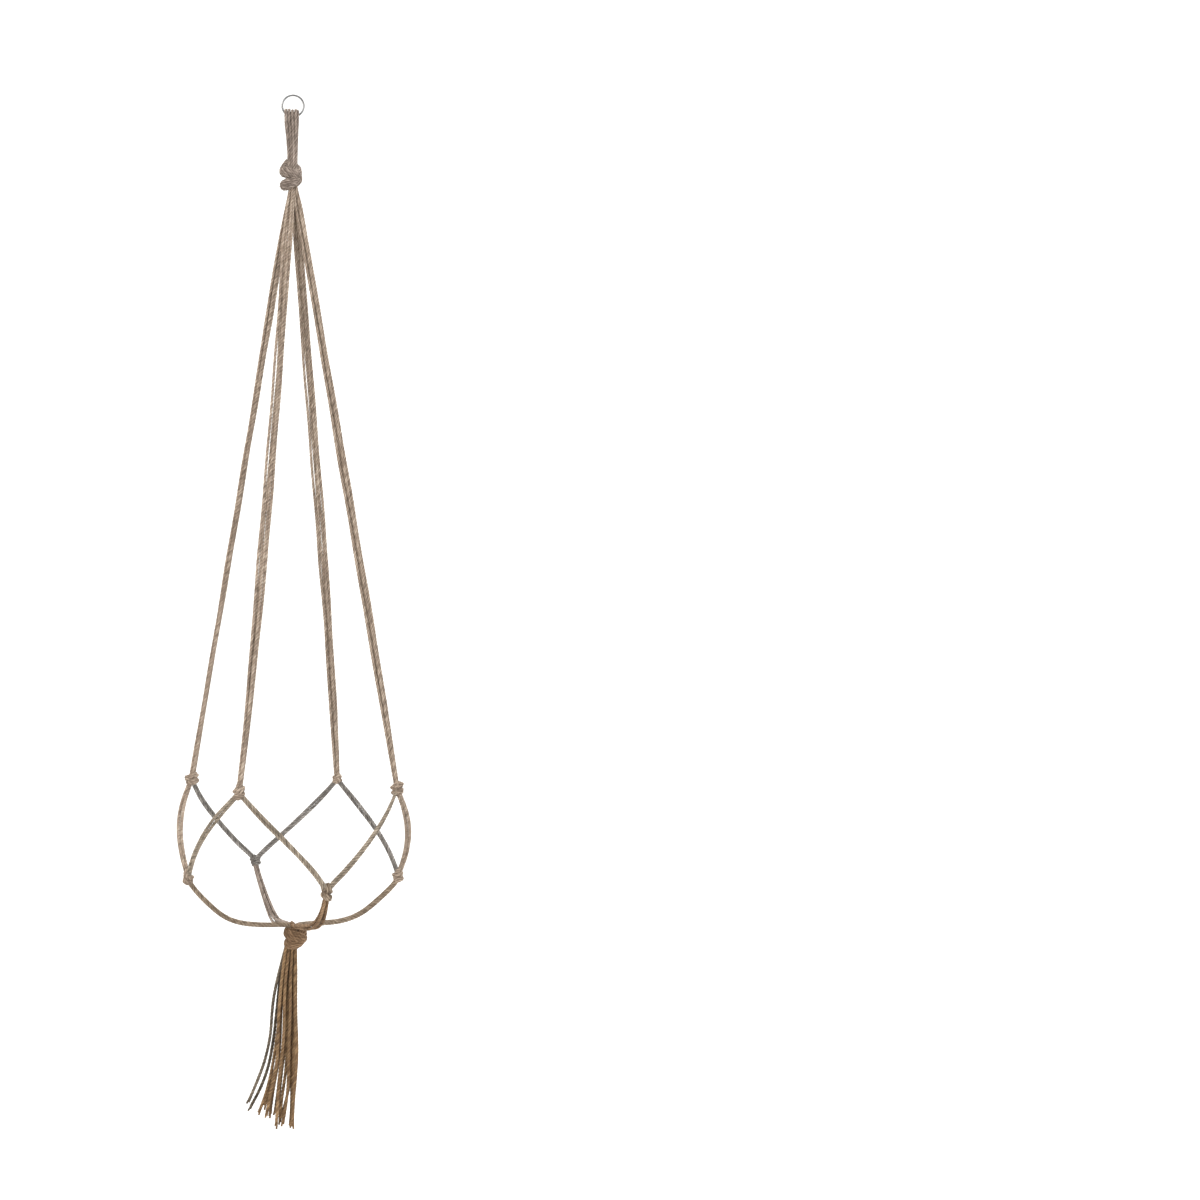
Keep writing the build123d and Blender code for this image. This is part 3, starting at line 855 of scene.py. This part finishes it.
# The base cords: four strands from each side knot run in under the pot's foot. They drop, then level
# out and meet over the base knot, where the pot would stand on them, and dive into it.
base_level = -0.9685
base_routes = {
    "left_front": (
        [(-0.0065, 0.104), (-0.0075, 0.108), (-0.022, 0.126)],
        [(0.085, 0.0265), (0.062, 0.0175), (0.036, 0.0145), (0.008, 0.0135), (0.0035, 0.0105),
         (0.0025, 0.004)],
    ),
    "front_right": (
        [(-0.025, 0.111), (-0.026, 0.115), (-0.031, 0.127)],
        [(0.0915, 0.0350), (0.0775, 0.0255), (0.060, 0.0195), (0.036, 0.0160), (0.008, 0.0125),
         (0.0035, 0.0105), (0.0025, 0.004)],
    ),
    "right_rear": (
        [(0.0, 0.114), (-0.0005, 0.118), (-0.016, 0.133)],
        [(0.088, 0.0215), (0.063, 0.0135), (0.036, 0.0125), (0.008, 0.0125), (0.0035, 0.0105),
         (0.0025, 0.004)],
    ),
    "rear_left": (
        [(0.004, 0.107), (0.0035, 0.111), (-0.013, 0.128)],
        [(0.091, 0.0245), (0.066, 0.0085), (0.050, 0.0070), (0.030, 0.0090), (0.010, 0.0105),
         (0.0035, 0.0095), (0.0025, 0.004)],
    ),
}
# How far each bundle opens across and in height on its way.
base_openings = {
    "left_front": ((0.72, 0.76, 0.78, 0.78, 0.76, 0.66), 0.80),
    "front_right": ((0.75, 1.15, 1.80, 1.94, 1.55, 1.05, 0.80, 0.70), 0.68),
    "right_rear": ((0.72, 0.78, 0.80, 0.78, 0.76, 0.66), 0.80),
    "rear_left": ((0.75, 1.00, 1.35, 1.60, 1.30, 0.70), 0.86),
}
square = [(half, half), (half, -half), (-half, half), (-half, -half)]
for name, (high, low) in base_routes.items():
    azimuth = {"left_front": 200, "front_right": 290, "right_rear": 380, "rear_left": 110}[name]
    route = [place(azimuth, basket_radius + out, shoulder_level - drop) for out, drop in high]
    route += [place(azimuth, radius, base_level + rise) for radius, rise in low]
    line = line_of(route, resolution=16)
    upward = np.tile((0.0, 0.0, 1.0), (len(line), 1))
    opening, flatness = base_openings[name]
    laid_flat = [(a, b * flatness) for a, b in square]
    strands = bundle(line, upward, laid_flat, opening, 0.0, 20.0)
    # The rear left bundle takes the crown's copy, with its painted shade.
    material = {"rear_left": crown_jute, "front_right": base_jute}.get(name, dull_jute)
    gathered = cord_piece(f"base_cords_gathered_{name}", strands, material, hair=0.0016)
    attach(gathered, "harness")
    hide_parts(f"base_cords_{name}")

# The base knot: all sixteen strands tied in one last overhand knot under the pot's place. Its big bight
# stands to the right, and the tassel leaves it on the left.
base_middle = Vector((0.0026, 0.0, base_level - 0.0008))
base_size = (0.0285, 0.0276, 0.0292)
tie("base_overhand", "base_knot", base_middle, base_size, base_jute, sixteenfold, 0.90, -114, True, 1.12)

# The tassel: the sixteen strands' ends, cut by hand to unequal lengths. They hang close together, a few
# swing out to the left as they were bent in the knot, and each cut end has begun to unlay.
tassel_routes = [
    [(-0.0072, -0.0052, 0.007), (-0.0125, -0.0068, 0.044), (-0.0152, -0.0076, 0.084),
     (-0.0168, -0.0084, 0.126), (-0.022, -0.0095, 0.168), (-0.0295, -0.011, 0.207)],
    [(-0.0037, -0.0052, 0.007), (-0.0078, -0.0069, 0.045), (-0.0098, -0.0078, 0.086),
     (-0.0112, -0.0088, 0.128), (-0.0155, -0.01, 0.174), (-0.0205, -0.012, 0.219)],
    [(-0.0002, -0.0052, 0.007), (-0.0024, -0.0068, 0.044), (-0.0030, -0.0078, 0.087),
     (-0.0034, -0.0086, 0.13), (-0.006, -0.009, 0.174), (-0.0108, -0.0095, 0.217)],
    [(0.0032, -0.0052, 0.007), (0.0022, -0.0069, 0.045), (0.0036, -0.008, 0.087),
     (0.004, -0.009, 0.131), (0.003, -0.0098, 0.176), (0.0002, -0.011, 0.22)],
    [(-0.0072, -0.0017, 0.007), (-0.0165, -0.0024, 0.04), (-0.025, -0.003, 0.08),
     (-0.0276, -0.0036, 0.121), (-0.037, -0.0046, 0.161), (-0.0542, -0.006, 0.1925)],
    [(-0.0037, -0.0017, 0.007), (-0.0104, -0.0026, 0.044), (-0.0159, -0.0032, 0.085),
     (-0.0195, -0.0042, 0.127), (-0.029, -0.005, 0.169), (-0.0404, -0.0065, 0.205)],
    [(-0.0002, -0.0017, 0.007), (-0.0046, -0.0025, 0.045), (-0.0068, -0.0032, 0.087),
     (-0.008, -0.0038, 0.13), (-0.011, -0.0044, 0.174), (-0.016, -0.0055, 0.216)],
    [(0.0032, -0.0017, 0.007), (0.0006, -0.0024, 0.044), (0.0004, -0.0032, 0.086),
     (0.0002, -0.0038, 0.13), (-0.0015, -0.0036, 0.176), (-0.0052, -0.0035, 0.221)],
    [(-0.0072, 0.0017, 0.007), (-0.0136, 0.0024, 0.044), (-0.0183, 0.0028, 0.085),
     (-0.0206, 0.0032, 0.123), (-0.031, 0.0038, 0.165), (-0.0503, 0.005, 0.2035)],
    [(-0.0037, 0.0017, 0.007), (-0.0094, 0.0025, 0.045), (-0.0129, 0.003, 0.086),
     (-0.0148, 0.0038, 0.128), (-0.02, 0.0046, 0.171), (-0.0255, 0.006, 0.213)],
    [(-0.0002, 0.0017, 0.007), (-0.0044, 0.0026, 0.044), (-0.0069, 0.0031, 0.086),
     (-0.0082, 0.004, 0.129), (-0.0125, 0.005, 0.171), (-0.019, 0.006, 0.211)],
    [(0.0032, 0.0017, 0.007), (0.0014, 0.0025, 0.045), (0.0022, 0.0032, 0.088),
     (0.0020, 0.0044, 0.132), (0.0010, 0.006, 0.177), (-0.0008, 0.008, 0.22)],
    [(-0.0072, 0.0052, 0.007), (-0.012, 0.0068, 0.045), (-0.0144, 0.0078, 0.085),
     (-0.0164, 0.0088, 0.127), (-0.024, 0.01, 0.167), (-0.034, 0.012, 0.204)],
    [(-0.0037, 0.0052, 0.007), (-0.0074, 0.007, 0.044), (-0.0094, 0.0082, 0.086),
     (-0.0114, 0.009, 0.129), (-0.0165, 0.01, 0.171), (-0.024, 0.011, 0.211)],
    [(-0.0002, 0.0052, 0.007), (-0.0018, 0.0069, 0.045), (-0.0020, 0.008, 0.087),
     (-0.0024, 0.0092, 0.13), (-0.005, 0.0104, 0.173), (-0.014, 0.012, 0.214)],
    [(0.0032, 0.0052, 0.007), (0.002, 0.007, 0.044), (0.0026, 0.0082, 0.086),
     (0.0032, 0.0094, 0.13), (0.0014, 0.0106, 0.174), (-0.0035, 0.0125, 0.216)],
]
tassel_jute = jute("three-ply jute, brown cut ends", "#b0906a", "#7a5f43", "#493828")
# A darker copy of the tassel's jute, for the two strands that swing out furthest to the left.
darker_tassel_jute = jute("three-ply jute, darker strands", "#8f8273", "#62584c", "#3a342d")
unlaid = 0.010  # length of a cut end over which its plies part
row_shift = (-0.0006, 0.0007, -0.0010, 0.0011)  # so that the rows' strands hang in each other's gaps
for number, points in enumerate(tassel_routes):
    route = [Vector((x, y, base_level - drop)) for x, y, drop in points]
    for spot in route[1:]:
        spot.x += row_shift[number // 4]
    line = line_of(route, resolution=24)
    far, share = run_shares(line)
    # Each strand keeps a little of the wave it had in the knot.
    line[:, 0] += 0.0011 * share * np.sin(far / 0.017 + 2.1 * number)
    line[:, 1] += 0.0009 * share * np.sin(far / 0.022 + 1.3 * number)
    across, out = side_directions(line, np.tile((0.0, -1.0, 0.0), (len(line), 1)))
    whole = far < far[-1] - unlaid * 0.75
    laid = np.interp(share, (0, 0.05, 0.12, 1), (0.98, 1.02, 1.09, 1.13))[whole]
    lines, sizes = [line[whole]], [laid]
    parted = far > far[-1] - unlaid
    for ply in range(3):
        angle = math.radians(120 * ply + 70 * number)
        part = (far[parted] - (far[-1] - unlaid)) / unlaid
        spread = 0.0007 + 0.0005 * part**1.5 * (0.6 + 0.25 * ((number + ply) % 3))
        aside = across[parted] * (math.cos(angle) * spread)[:, None]
        aside = aside + out[parted] * (math.sin(angle) * spread)[:, None]
        shorter = (number * 2 + ply) % 3
        lines.append((line[parted] + aside)[: len(part) - shorter])
        sizes.append((0.76 - 0.04 * part)[: len(part) - shorter])
    material = darker_tassel_jute if number in (4, 8) else tassel_jute
    strand = cord_piece(f"tassel_cord_{number + 1:02d}", lines, material, sizes=sizes, fibres=75000.0,
                        hair=0.0015)
    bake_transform(strand)
    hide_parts(f"tassel_strand_{number + 1:02d}")
